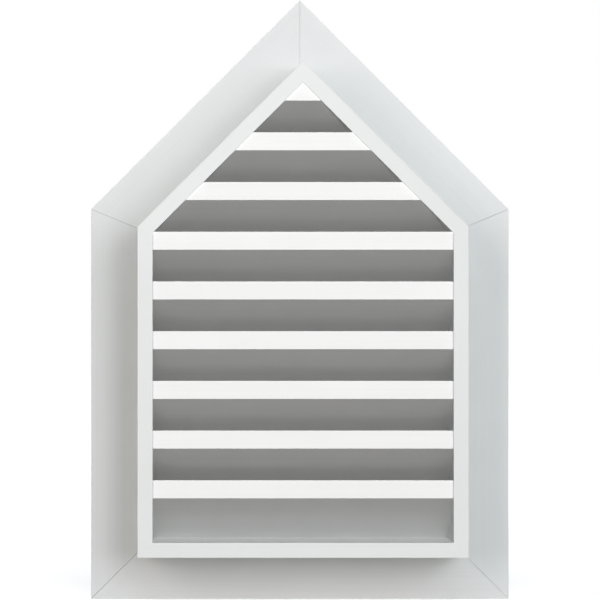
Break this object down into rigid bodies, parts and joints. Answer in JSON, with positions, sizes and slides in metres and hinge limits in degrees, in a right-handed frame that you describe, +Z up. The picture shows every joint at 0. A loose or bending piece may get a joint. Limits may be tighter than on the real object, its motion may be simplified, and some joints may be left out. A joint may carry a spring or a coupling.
{
  "type": "gable vent",
  "caption": "Peaked louvre vent for a gable wall: a deep box of mitred white boards with sloping slats, a flat mitred trim round it and a wire screen behind.",
  "frame": {"origin": "middle of the trim's lower edge, on the wall plane", "axes": "+X along the wall, to the right as seen from the front; +Y into the wall; +Z up"},
  "size_m": [0.5588, 0.0889, 0.8009],
  "materials": {
    "trim_board": "satin",
    "frame_board": "satin",
    "slat_board": "satin",
    "screen_wire": "galvanised"
  },
  "bodies": {
    "root": {"trim_sill": "trim_board", "trim_jamb_left": "trim_board", "trim_jamb_right": "trim_board", "trim_rake_left": "trim_board", "trim_rake_right": "trim_board", "frame_sill": "frame_board", "frame_jamb_left": "frame_board", "frame_jamb_right": "frame_board", "frame_rake_left": "frame_board", "frame_rake_right": "frame_board", "slat_1": "slat_board", "slat_2": "slat_board", "slat_3": "slat_board", "slat_4": "slat_board", "slat_5": "slat_board", "slat_6": "slat_board", "slat_7": "slat_board", "slat_8": "slat_board", "slat_9": "slat_board", "insect_screen": "screen_wire"}
  },
  "joints": []
}
